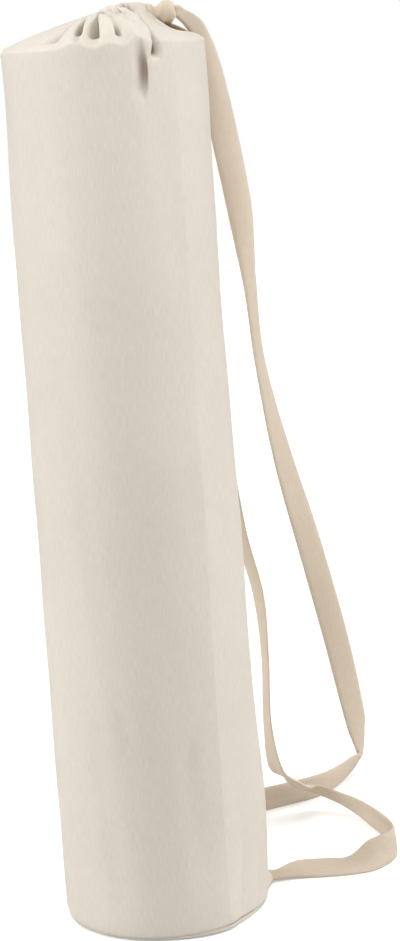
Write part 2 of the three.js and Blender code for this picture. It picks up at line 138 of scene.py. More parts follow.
def soft_light(name, kind, place, target, power, spread):
    # spread is the angle that a wall of light fills in the sky, or the angle of a lamp's soft beam
    data = bpy.data.lights.new(name, kind)
    data.energy = power
    if kind == "SUN":
        data.angle = math.radians(spread)
    else:
        data.spot_size = math.radians(spread)
        data.spot_blend = 1.0
        data.shadow_soft_size = lamp_softness
    light = bpy.data.objects.new(name, data)
    bpy.context.scene.collection.objects.link(light)
    light.location = place
    light.rotation_euler = (Vector(target) - Vector(place)).to_track_quat("-Z", "Y").to_euler()
    light.visible_camera = False


bag_middle = (0.05, 0.05, 0.35)
bag_top = (0.0, 0.0, 0.62)
soft_light("roof", "SUN", (0.0, -0.2, 2.2), bag_middle, 1.7, 50)
soft_light("left_wall", "SUN", (-1.9, 0.2, 1.15), bag_middle, 2.0, 40)
soft_light("right_wall", "SUN", (2.0, 0.3, 1.1), bag_middle, 2.0, 40)
soft_light("front_top", "SPOT", (0.0, -1.3, 1.35), bag_top, 44.0, 64)


# The canvas tube of the bag: one width of natural cotton canvas, sewn into a tube with a seam up the
# back, turned over at the top into a hem that the tape gathers, and filled out by the roll inside.
# A turn is an angle round the bag in degrees: 0 is the front, 90 the right (+X), 180 the back.
bag_height = 0.650
rim_radius = 0.0734
base_radius = 0.0778
canvas = 0.0016
rim_round = 0.0030
rim_bend = 70
rim_tilt = math.radians(58)
corner_round = 0.009
corner_tuck = 0.0024
seam_height = 0.0022
seam_rise = 0.0026
seam_rise_turn = 38
seam_rise_half = 50
seam_gape = 0.0018
seam_gape_turn = 46
seam_gape_half = 22
dent_depth = 0.002
crown_rise = 0.025
crown_puff = 0.0020
front_puff = 0.0060
front_puff_turn = -4
front_puff_half = 42
hem_roll = 0.0054
hem_end = 215
hem_twist = 55
mouth_length = 0.026
mouth_depth = 0.024
mouth_offset = 0.017
fold_depth = 0.0074
fold_calm = 0.35
hem_calm = 0.4
pit_floor = 0.2
pit_narrowing = 0.7
pit_shallowing = 0.75
bend_share = 0.08
petal_puff = 0.0030
pleat_depth = 0.0006
pleats_round = 19
pleat_drift = 1.4
pleat_drift_round = 7
ruffle_sink = 0.0006
lap_width = 0.0030
lap_peak = 27 / 4  # makes over * (1 - over) ** 2 reach 1 in lap_form
rim_wave = 0.0058
knot_dent = 0.0065
knot_dent_turn = 95
knot_dent_half = 75
touch = 0.0003
shelter_columns = 7
shelter_rows = 4
inner_every = 3

# The gather folds. rim and mouth are the turns at which a fold crosses the rim and the hem. It is a
# pit like a drop: depth is a share of fold_depth, width its half width at the rim in degrees, foot
# where its round end lies, 0 at the rim and 1 at the hem, long how far up it stays deep, and steep
# the side with the steeper wall. puff is how full the petal after it is, and lap how far that petal
# laps over it.
folds = [
    dict(rim=-110, mouth=-122, depth=0.35, width=13, foot=0.4, long=0.7, steep=0, puff=0.0, lap=0),
    dict(rim=-28, mouth=-98, depth=0.6, width=6, foot=0.0, long=0.6, steep=0.5, puff=0.4, lap=0.3),
    dict(rim=-14, mouth=-84, depth=1.1, width=3.0, foot=-0.03, long=0.6, steep=-0.2, puff=0.5, lap=0),
    dict(rim=-2, mouth=-70, depth=1.1, width=4.2, foot=-0.02, long=0.65, steep=0.5, puff=0.5, lap=0.4),
    dict(rim=9.5, mouth=-60, depth=1.5, width=2.2, foot=0.0, long=0.7, steep=-0.2, puff=0.7, lap=-0.3),
    dict(rim=30.5, mouth=42, depth=1.2, width=3.2, foot=-0.27, long=0.5, steep=0, puff=0.2, lap=0),
    dict(rim=66, mouth=72, depth=0.25, width=14, foot=0.5, long=0.7, steep=0, puff=0.0, lap=0),
    dict(rim=118, mouth=112, depth=0.8, width=8, foot=0.05, long=0.7, steep=0.3, puff=0.4, lap=0.5),
    dict(rim=140, mouth=136, depth=1.1, width=7, foot=-0.08, long=0.6, steep=-0.3, puff=0.9, lap=-0.4),
    dict(rim=163, mouth=160, depth=0.9, width=6, foot=0.05, long=0.7, steep=0.3, puff=0.9, lap=0.5),
    dict(rim=184, mouth=184, depth=1.2, width=7, foot=-0.12, long=0.6, steep=0.4, puff=1.0, lap=0.5),
    dict(rim=207, mouth=208, depth=0.9, width=6, foot=0.08, long=0.7, steep=-0.4, puff=0.9, lap=-0.4),
    dict(rim=229, mouth=226, depth=0.8, width=7, foot=0.04, long=0.7, steep=0.3, puff=0.3, lap=0.4),
]

# The edge of the rim between the folds: lift is how far the side stands up past bag_height before
# it turns in, as a share of rim_wave.
rim_rises = [
    dict(turn=-60, lift=0.0),
    dict(turn=-27, lift=-0.06),
    dict(turn=-15, lift=0.6),
    dict(turn=-5, lift=-0.1),
    dict(turn=5, lift=0.35),
    dict(turn=12, lift=0.0),
    dict(turn=19, lift=0.8),
    dict(turn=31, lift=0.05),
    dict(turn=60, lift=0.0),
    dict(turn=118, lift=0.3),
    dict(turn=129, lift=-0.1),
    dict(turn=140, lift=0.5),
    dict(turn=152, lift=-0.1),
    dict(turn=163, lift=0.5),
    dict(turn=173, lift=0.0),
    dict(turn=184, lift=0.6),
    dict(turn=196, lift=-0.1),
    dict(turn=207, lift=0.5),
    dict(turn=218, lift=0.0),
    dict(turn=229, lift=0.4),
    dict(turn=245, lift=0.0),
]

# The hem round the mouth: high is the top of its roll above bag_height as a share of crown_rise,
# foot the angle on the roll where the cloth of the crown meets it, 90 at its top, where it is taut.
hem_rows = [
    dict(turn=-135, high=1.02, foot=40),
    dict(turn=-92, high=0.94, foot=78),
    dict(turn=-70, high=1.0, foot=40),
    dict(turn=-45, high=1.06, foot=0),
    dict(turn=0, high=0.98, foot=0),
    dict(turn=35, high=0.82, foot=60),
    dict(turn=55, high=0.86, foot=60),
    dict(turn=95, high=1.08, foot=60),
    dict(turn=135, high=1.12, foot=20),
    dict(turn=180, high=1.12, foot=0),
]

# The ruffles of the scrunched hem: how many go round the mouth, how high they stand, and how much and
# how often their spacing drifts.
hem_ruffles = [
    dict(round=13, high=0.0011, drift=0.9, drift_round=3, start=0.0),
    dict(round=29, high=0.0006, drift=1.7, drift_round=5, start=1.0),
]

# Dents (above 0) and ridges (below 0) of the side. depth is a share of dent_depth, width the half
# width in degrees, up the height of its middle and tall its half height as shares of bag_height,
# and lean the degrees that it turns to the right over the height of the bag.
side_forms = [
    dict(turn=37.5, lean=7, depth=-1.1, width=20, up=0.5, tall=1.4, sharp=True),
    dict(turn=-60, lean=0, depth=-0.45, width=16, up=0.5, tall=1.4, sharp=True),
    dict(turn=24, lean=0, depth=-1.6, width=28, up=0.0, tall=0.09, sharp=False),
    dict(turn=103, lean=0, depth=-3.6, width=14, up=0.005, tall=0.021, sharp=False),
    dict(turn=90, lean=0, depth=-1.3, width=36, up=0.13, tall=0.15, sharp=False),
    dict(turn=88, lean=0, depth=0.9, width=40, up=0.68, tall=0.3, sharp=False),
    dict(turn=-88, lean=0, depth=0.8, width=36, up=0.93, tall=0.14, sharp=False),
    dict(turn=46, lean=90, depth=0.8, width=7, up=0.05, tall=0.07, sharp=True),
    dict(turn=64, lean=120, depth=0.7, width=8, up=0.045, tall=0.06, sharp=True),
    dict(turn=-15, lean=-190, depth=0.5, width=5, up=0.25, tall=0.045, sharp=False),
    dict(turn=18, lean=190, depth=0.5, width=5, up=0.215, tall=0.035, sharp=False),
    dict(turn=205, lean=0, depth=0.6, width=14, up=0.62, tall=0.12, sharp=False),
    dict(turn=150, lean=40, depth=0.5, width=12, up=0.3, tall=0.1, sharp=False),
]

# The long hollow beside the last front fold, where the cloth on its right laps over it
wedge_turn = 21.3
wedge_bow = 4.0
wedge_up = 0.971
wedge_below = 0.036
wedge_above = 0.031
wedge_depth = 0.0080
wedge_left = 10
wedge_right = 1.5
wedge_lap = 0.0030
wedge_lap_width = 9
# wedge_painted_shade is how strongly the hollow is darkened with painted shade
wedge_painted_shade = 0.7
wedge_climb = 0.03

# Soft waves of slack cloth: how many go round the bag, how many up it, and how high they stand.
slack_waves = [
    dict(round=5, up=1.7, high=0.00030, start=0.6),
    dict(round=9, up=0.6, high=0.00022, start=2.1),
    dict(round=14, up=2.3, high=0.00016, start=4.0),
    dict(round=23, up=3.1, high=0.00010, start=1.2),
    dict(round=3, up=6.0, high=0.00020, start=5.1),
]

# The columns of the mesh, as turns: close together over the front folds, wider apart elsewhere
front_start, front_end, front_step = -34, 44, 0.42
turns = np.concatenate([
    np.arange(front_start, front_end, front_step),
    np.linspace(front_end, front_start + 360, 160)[:-1],
])


def around(turn, out, z):
    angle = np.radians(turn)
    return np.stack([out * np.sin(angle), -out * np.cos(angle), z + 0 * angle], axis=-1)


def turn_between(a, b):
    return (a - b + 540) % 360 - 180


def creased(distance):
    return (1 - np.minimum(np.abs(distance), 1)) ** 2


def rounded(distance):
    return (1 - np.minimum(np.abs(distance), 1) ** 2) ** 2


def eased(value, start, end):
    share = np.clip((value - start) / (end - start), 0, 1)
    return share * share * (3 - 2 * share)


def eased_round(rows, column, turn):
    # Goes softly from row to row of a table, round the whole bag
    value = 0 * turn
    for here, after in zip(rows, rows[1:] + rows[:1]):
        span = (after["turn"] - here["turn"]) % 360
        past = (turn - here["turn"]) % 360
        between = here[column] + (after[column] - here[column]) * eased(past, 0, span)
        value = np.where(past < span, between, value)
    return value


def side_form(turn, z):
    push = 0 * turn
    for form in side_forms:
        along = z / bag_height - form["up"]
        across = turn_between(turn, form["turn"] + form["lean"] * along) / form["width"]
        shape = creased(across) if form["sharp"] else rounded(across)
        push = push - form["depth"] * dent_depth * shape * rounded(along / form["tall"])
    return push


def wedge_length(z):
    along = z / bag_height - wedge_up
    return rounded(along / np.where(along < 0, wedge_below, wedge_above))


def wedge_across(turn, z):
    return turn_between(turn, wedge_turn + wedge_bow * wedge_length(z))


def wedge_form(turn, z):
    across = wedge_across(turn, z)
    share = across / np.where(across < 0, wedge_left, wedge_right)
    return -wedge_depth * wedge_length(z) * (0.5 * rounded(share) + 0.5 * creased(share))


def wedge_slide(turn, z):
    across = wedge_across(turn, z)
    lapped = eased(across, 0, wedge_right) * (1 - eased(across, wedge_right, wedge_lap_width))
    return -wedge_lap * wedge_length(z) * lapped


def slack_form(turn, z):
    push = 0 * turn
    for wave in slack_waves:
        angle = np.radians(turn * wave["round"]) + wave["start"]
        push = push + wave["high"] * np.sin(angle + 2 * math.pi * wave["up"] * z / bag_height)
    held = eased(z, 0.0, 0.05) * (1 - 0.7 * eased(z, 0.6, bag_height))
    return push * held


def fold_pit(fold, turn, inward):
    past = inward - fold["foot"]
    narrowed = 1 - pit_narrowing * eased(past, 0.06, fold["long"])
    across = turn_between(turn, fold["rim"]) / (fold["width"] * narrowed)
    across = across * (1 + fold["steep"] * np.sign(across))
    shallower = pit_shallowing * eased(past, 0.3 * fold["long"], 1.3 * fold["long"])
    grown = eased(past, 0.0, 0.12) * (1 - shallower)
    return (1 - eased(np.abs(across), pit_floor, 1.0)) * grown


def fold_form(turn, inward):
    return -fold_depth * sum(fold["depth"] * fold_pit(fold, turn, inward) for fold in folds)


def painted_fold_shade(turn, z, inward):
    # Painted shade: 1 where the cloth lies deep in a fold, in the lapped hollow beside the last front fold
    # and in the gape beside the base seam, where little light gets in, 0 on the open cloth; the canvas
    # colour is darkened by it
    pits = sum(np.minimum(fold["depth"], 1) * fold_pit(fold, turn, inward) ** 2 for fold in folds)
    across = wedge_across(turn, z)
    open_side = creased(across / wedge_left)
    lapped_side = 1 - eased(across, 0.5 * wedge_right, wedge_right)
    lapped = np.where(across < 0, open_side, lapped_side)
    at_gape = rounded(turn_between(turn, seam_gape_turn) / seam_gape_half)
    beside_seam = (1 - eased(z - seam_top(turn), touch, seam_gape)) * at_gape
    return np.clip(pits + wedge_painted_shade * wedge_length(z) * lapped + beside_seam, 0, 1)


def petal_form(turn, inward):
    push = 0 * turn
    for here, after in zip(folds, folds[1:] + folds[:1]):
        span = (after["rim"] - here["rim"]) % 360
        past = (turn - here["rim"]) % 360 / span
        between = np.where(past < 1, 1 - np.abs(2 * np.clip(past, 0, 1) - 1) ** 2.4, 0)
        grown = eased(inward, -0.06, 0.2) * (1 - 0.7 * inward)
        push = push + here["puff"] * petal_puff * between * grown
    return push


def rim_lift(turn, inward):
    lift = rim_wave * eased_round(rim_rises, "lift", turn)
    return lift * eased(inward, -0.2, -0.03) * (1 - eased(inward, 0.1, 0.6))


def lap_form(turn, inward):
    slide = 0 * turn
    for fold in folds:
        across = turn_between(turn, fold["rim"]) / (1.6 * fold["width"])
        over = np.clip(across * np.sign(fold["lap"]), 0, 1)
        grown = eased(inward - fold["foot"], 0.0, 0.15) * (1 - 0.6 * eased(inward, 0.3, 0.9))
        slide = slide - fold["lap"] * lap_width * lap_peak * over * (1 - over) ** 2 * grown
    return slide


def mouth_turn(turn):
    at = 0 * turn
    for here, after in zip(folds, folds[1:] + folds[:1]):
        span = (after["rim"] - here["rim"]) % 360
        past = (turn - here["rim"]) % 360
        moved = here["mouth"] + past / span * ((after["mouth"] - here["mouth"]) % 360)
        at = np.where(past < span, moved, at)
    return at


def seam_top(turn):
    return seam_height + seam_rise * rounded(turn_between(turn, seam_rise_turn) / seam_rise_half)


def side_radius(z):
    tuck = corner_tuck * (1 - np.clip(z / corner_round, 0, 1)) ** 2
    return base_radius + (rim_radius - base_radius) * z / bag_height - tuck


def pucker_form(at):
    push = 0 * at
    for row in hem_ruffles:
        drift = row["drift"] * np.sin(np.radians(at * row["drift_round"]) + row["start"])
        push = push + row["high"] * np.sin(np.radians(at * row["round"]) + drift)
    return push


def hem_point(turn, share):
    # share 0 is where the cloth of the crown meets the hem, 1 is inside the mouth
    at = mouth_turn(turn)
    foot = eased_round(hem_rows, "foot", at)
    angle = np.radians(foot + (hem_end - foot) * share)
    loose = 1 - 0.8 * eased(foot, 5, 50)
    roll = hem_roll + (pucker_form(at + hem_twist * share) - ruffle_sink) * loose
    reach = roll * np.cos(angle)
    return np.stack([
        mouth_offset + (mouth_length / 2 + reach) * np.sin(np.radians(at)),
        -(mouth_depth / 2 + reach) * np.cos(np.radians(at)),
        bag_height + crown_rise * eased_round(hem_rows, "high", at) + roll * (np.sin(angle) - 1),
    ], axis=-1)


def crown_point(turn, inward):
    rim_end = around(turn, rim_radius - rim_round * (1 - math.cos(math.radians(rim_bend))), bag_height)
    place = rim_end + (hem_point(turn, 0.0) - rim_end) * inward
    pressed = rounded(turn_between(turn, knot_dent_turn) / knot_dent_half)
    full = front_puff * rounded(turn_between(turn, front_puff_turn) / front_puff_half)
    place[:, 2] += (crown_puff + full) * (1 - pressed) * rounded((inward - 0.35) / 0.65)
    place[:, 2] -= knot_dent * pressed * rounded((inward - 0.62) / 0.6)
    place[:, 2] += rim_lift(turn, inward)
    return place


def pleat_form(turn, inward):
    # Small pleats that run from the hem a little way down the crown
    drift = pleat_drift * np.sin(np.radians(turn * pleat_drift_round))
    wave = np.sin(np.radians(mouth_turn(turn) * pleats_round) + drift)
    return pleat_depth * wave * eased(inward, 0.35, 0.85)


def top_forms(inward):
    return fold_form(turns, inward) + petal_form(turns, inward) + pleat_form(turns, inward)


def side_row(up):
    low = seam_top(turns) + touch / 2
    z = low + (bag_height - rim_round - low) * up
    inward = (z - bag_height) / (rim_radius - mouth_length)
    push = side_form(turns, z) + slack_form(turns, z) + wedge_form(turns, z) + top_forms(inward)
    place = around(turns, side_radius(z), z)
    place[:, 2] += rim_lift(turns, inward)
    slide = lap_form(turns, inward) + wedge_slide(turns, z)
    return place, push, slide, painted_fold_shade(turns, z, inward), inward


def bend_row(angle):
    out = rim_radius - rim_round * (1 - math.cos(math.radians(angle)))
    height = bag_height - rim_round * (1 - math.sin(math.radians(angle)))
    inward = (angle / rim_bend - 1) * bend_share
    push = side_form(turns, height) + wedge_form(turns, height) + top_forms(inward)
    place = around(turns, out, height)
    place[:, 2] += rim_lift(turns, inward)
    slide = lap_form(turns, inward) + wedge_slide(turns, height)
    return place, push, slide, painted_fold_shade(turns, height, inward), inward + 0 * turns


def crown_row(inward):
    calm = 1 - eased(inward, 0.75, 1.0)
    height = bag_height + wedge_climb * inward
    push = top_forms(inward) * (1 - fold_calm * inward) + wedge_form(turns, height)
    slide = (lap_form(turns, inward) + wedge_slide(turns, height)) * calm
    shade = painted_fold_shade(turns, height, inward)
    push = push * (hem_calm + (1 - hem_calm) * calm)
    return crown_point(turns, inward), push, slide, shade, inward + 0 * turns


def cloth_rings(side_ups, bend_angles, crown_shares):
    rows = [side_row(up) for up in side_ups]
    rows += [bend_row(angle) for angle in bend_angles]
    rows += [crown_row(inward) for inward in crown_shares]
    plain = [row[0] for row in rows] + [hem_point(turns, 0.0)]
    pushes = np.array([row[1] for row in rows])
    # The inner side stays behind the deepest cloth close by, so that it never shows in a fold
    shifts = range(-shelter_columns, shelter_columns + 1)
    deepest = np.min([np.roll(pushes, shift, axis=1) for shift in shifts], axis=0)
    padded = np.pad(deepest, ((shelter_rows, shelter_rows), (0, 0)), mode="edge")
    shifts = range(2 * shelter_rows + 1)
    deepest = np.min([padded[shift:shift + len(rows)] for shift in shifts], axis=0)
    outer, inner = [], []
    for index, (place, push, slide, shade, inward) in enumerate(rows):
        across = np.roll(place, -1, axis=0) - np.roll(place, 1, axis=0)
        along = plain[index + 1] - plain[max(index - 1, 0)]
        normal = np.cross(across, along)
        normal /= np.linalg.norm(normal, axis=1, keepdims=True)
        # Folds are pushed in along a direction that turns up slowly past the rim, so that the deep
        # ones don't cross themselves in its tight bend
        tilt = rim_tilt * eased(inward, -0.25, 0.2)
        on_crown = eased(inward, 0.1, 0.35)[:, None]
        out = around(turns, np.cos(tilt), np.sin(tilt)) * (1 - on_crown) + normal * on_crown
        out /= np.linalg.norm(out, axis=1, keepdims=True)
        sideways = across / np.linalg.norm(across, axis=1, keepdims=True)
        outer.append(place + out * push[:, None] + sideways * slide[:, None])
        inner.append(place + out * (deepest[index] - canvas)[:, None])
    return outer, inner, [row[3] for row in rows]


def grid_piece(name, rings, places_across, steps_along, closed):
    # Rings of points with the same count, joined by faces, with a flat map of the cloth in metres.
    # Rings that aren't closed into a hoop get a flat end each.
    count = len(rings[0])
    points = np.concatenate(rings)
    row_count = len(rings) if closed else len(rings) - 1
    rows, columns = np.meshgrid(np.arange(row_count), np.arange(count), indexing="ij")
    rows, columns = rows.ravel(), columns.ravel()
    next_row, beside = (rows + 1) % len(rings), (columns + 1) % count
    faces = np.stack([
        rows * count + columns,
        rows * count + beside,
        next_row * count + beside,
        next_row * count + columns,
    ], axis=1).tolist()
    along = np.concatenate([[0.0], np.cumsum(steps_along)])
    u = places_across[np.stack([columns, columns + 1, columns + 1, columns], axis=1)]
    v = np.stack([along[rows], along[rows], along[rows + 1], along[rows + 1]], axis=1)
    corners = np.stack([u, v], axis=2).reshape(-1, 2)
    if not closed:
        faces.append(list(range(count))[::-1])
        faces.append([len(points) - count + column for column in range(count)])
        corners = np.concatenate([corners, np.zeros((2 * count, 2))])
    data = bpy.data.meshes.new(name)
    data.from_pydata(points.tolist(), [], faces)
    flat_map = data.uv_layers.new(name="cloth")
    flat_map.data.foreach_set("uv", corners.astype(np.float32).ravel())
    data.polygons.foreach_set("use_smooth", np.ones(len(data.polygons), bool))
    data.update()
    piece = bpy.data.objects.new(name, data)
    bpy.context.scene.collection.objects.link(piece)
    return piece


def ring_steps(rings, closed):
    lines = np.array(rings)
    following = np.roll(lines, -1, axis=0) if closed else lines[1:]
    lines = lines if closed else lines[:-1]
    return np.median(np.linalg.norm(following - lines, axis=2), axis=1)


side_ups = np.concatenate([
    np.linspace(0, 0.03, 14)[:-1],
    np.linspace(0.03, 0.12, 12)[:-1],
    np.linspace(0.12, 0.86, 50)[:-1],
    np.linspace(0.86, 1, 40)[:-1],
])
crown_shares = np.concatenate([np.linspace(0.015, 0.5, 36)[:-1], np.linspace(0.5, 0.975, 20)])
outer_cloth, inner_cloth, painted_shades = cloth_rings(side_ups, np.linspace(0, rim_bend, 9), crown_shares)
hem_cloth = [hem_point(turns, share) for share in np.linspace(0, 1, 24)]
inner_cloth = inner_cloth[::-1][::inner_every] + [inner_cloth[0]]
bag_rings = outer_cloth + hem_cloth + inner_cloth
tube_width = 2 * math.pi * (rim_radius + base_radius) / 2
tube_places = np.append(turns, turns[0] + 360) / 360 * tube_width
bag_cloth = grid_piece("bag_cloth", bag_rings, tube_places, ring_steps(bag_rings, True), True)
# Painted shade of the folds, kept on the outer cloth's points for the canvas material to darken its colour
# by
painted_shade = np.zeros(len(bag_rings) * len(turns), np.float32)
painted_shade[:len(painted_shades) * len(turns)] = np.concatenate(painted_shades)
bag_cloth.data.attributes.new("painted_shade", "FLOAT", "POINT").data.foreach_set("value", painted_shade)


def group_sockets(group, inputs, outputs):
    for name, kind, value in inputs:
        socket = group.interface.new_socket(name=name, in_out="INPUT", socket_type=kind)
        if value is not None:
            socket.default_value = value
    for name, kind in outputs:
        group.interface.new_socket(name=name, in_out="OUTPUT", socket_type=kind)
    return group.nodes.new("NodeGroupInput"), group.nodes.new("NodeGroupOutput")


def math_node(tree, operation, first, second=None, clamp=False):
    node = tree.nodes.new("ShaderNodeMath")
    node.operation = operation
    node.use_clamp = clamp
    for socket, value in zip(node.inputs, (first, second)):
        if value is None:
            continue
        if isinstance(value, (int, float)):
            socket.default_value = value
        else:
            tree.links.new(value, socket)
    return node.outputs[0]


# Plain weave, for every cloth of the bag. It reads the flat map in metres and gives the height of
# the threads and a shade that changes from thread to thread.
weave = bpy.data.node_groups.new("plain_weave", "ShaderNodeTree")
weave_in, weave_out = group_sockets(
    weave,
    [("Cloth", "NodeSocketVector", None), ("Thread", "NodeSocketFloat", 0.0006)],
    [("Height", "NodeSocketFloat"), ("Shade", "NodeSocketFloat")],
)
split = weave.nodes.new("ShaderNodeSeparateXYZ")
weave.links.new(weave_in.outputs["Cloth"], split.inputs[0])
across_threads = math_node(weave, "DIVIDE", split.outputs["X"], weave_in.outputs["Thread"])
along_threads = math_node(weave, "DIVIDE", split.outputs["Y"], weave_in.outputs["Thread"])


def thread_roundness(threads):
    wave = math_node(weave, "SINE", math_node(weave, "MULTIPLY", threads, math.pi))
    return math_node(weave, "ABSOLUTE", wave)


warp_round = thread_roundness(across_threads)
weft_round = thread_roundness(along_threads)
warp_number = math_node(weave, "FLOOR", across_threads)
weft_number = math_node(weave, "FLOOR", along_threads)
warp_on_top = math_node(weave, "PINGPONG", math_node(weave, "ADD", warp_number, weft_number), 1.0)
on_warp = math_node(weave, "MULTIPLY", warp_round, warp_on_top)
on_weft = math_node(weave, "MULTIPLY", weft_round, math_node(weave, "SUBTRACT", 1.0, warp_on_top))
weave.links.new(math_node(weave, "ADD", on_warp, on_weft), weave_out.inputs["Height"])
thread_number = weave.nodes.new("ShaderNodeCombineXYZ")
slub_length = math_node(weave, "MULTIPLY", weft_number, 0.12)
weave.links.new(warp_number, thread_number.inputs["X"])
weave.links.new(slub_length, thread_number.inputs["Y"])
slubs = weave.nodes.new("ShaderNodeTexNoise")
slubs.inputs["Scale"].default_value = 0.55
slubs.inputs["Detail"].default_value = 3.0
weave.links.new(thread_number.outputs[0], slubs.inputs["Vector"])
weave.links.new(slubs.outputs["Fac"], weave_out.inputs["Shade"])

# Two rows of stitching along the flat map's second direction, each Apart to a side of Middle: short
# threads of even length between needle holes.
stitch_half_width = 0.00035
stitch_share = 0.78
stitch_raise = 2.4
groove_half_width = 0.0009
groove_sink = 1.6
stitching = bpy.data.node_groups.new("stitch_rows", "ShaderNodeTree")
stitch_in, stitch_out = group_sockets(
    stitching,
    [
        ("Cloth", "NodeSocketVector", None),
        ("Middle", "NodeSocketFloat", 0.0),
        ("Apart", "NodeSocketFloat", 0.005),
        ("Pitch", "NodeSocketFloat", 0.003),
    ],
    [("Thread", "NodeSocketFloat"), ("Groove", "NodeSocketFloat")],
)
stitch_split = stitching.nodes.new("ShaderNodeSeparateXYZ")
stitching.links.new(stitch_in.outputs["Cloth"], stitch_split.inputs[0])
aside = math_node(stitching, "SUBTRACT", stitch_split.outputs["X"], stitch_in.outputs["Middle"])
aside = math_node(stitching, "ABSOLUTE", aside)
from_row = math_node(stitching, "SUBTRACT", aside, stitch_in.outputs["Apart"])
from_row = math_node(stitching, "ABSOLUTE", from_row)
in_pitch = math_node(stitching, "DIVIDE", stitch_split.outputs["Y"], stitch_in.outputs["Pitch"])
in_pitch = math_node(stitching, "FRACT", in_pitch)
on_row = math_node(stitching, "LESS_THAN", from_row, stitch_half_width)
on_thread = math_node(stitching, "LESS_THAN", in_pitch, stitch_share)
stitching.links.new(math_node(stitching, "MULTIPLY", on_row, on_thread), stitch_out.inputs["Thread"])
in_groove = math_node(stitching, "LESS_THAN", from_row, groove_half_width)
stitching.links.new(in_groove, stitch_out.inputs["Groove"])

# Flecks of seed husk, which natural cotton keeps: few, small and brown.
flecks = bpy.data.node_groups.new("seed_flecks", "ShaderNodeTree")
flecks_in, flecks_out = group_sockets(
    flecks,
    [
        ("Place", "NodeSocketVector", None),
        ("Spacing", "NodeSocketFloat", 0.02),
        ("Size", "NodeSocketFloat", 0.014),
    ],
    [("Mask", "NodeSocketFloat")],
)
fleck_scale = math_node(flecks, "DIVIDE", 1.0, flecks_in.outputs["Spacing"])
fleck_cells = flecks.nodes.new("ShaderNodeTexVoronoi")
flecks.links.new(flecks_in.outputs["Place"], fleck_cells.inputs["Vector"])
flecks.links.new(fleck_scale, fleck_cells.inputs["Scale"])
near = math_node(flecks, "LESS_THAN", fleck_cells.outputs["Distance"], flecks_in.outputs["Size"])
fleck_chance = flecks.nodes.new("ShaderNodeSeparateColor")
flecks.links.new(fleck_cells.outputs["Color"], fleck_chance.inputs[0])
chosen = math_node(flecks, "GREATER_THAN", fleck_chance.outputs[0], 0.55)
flecks.links.new(math_node(flecks, "MULTIPLY", near, chosen), flecks_out.inputs["Mask"])


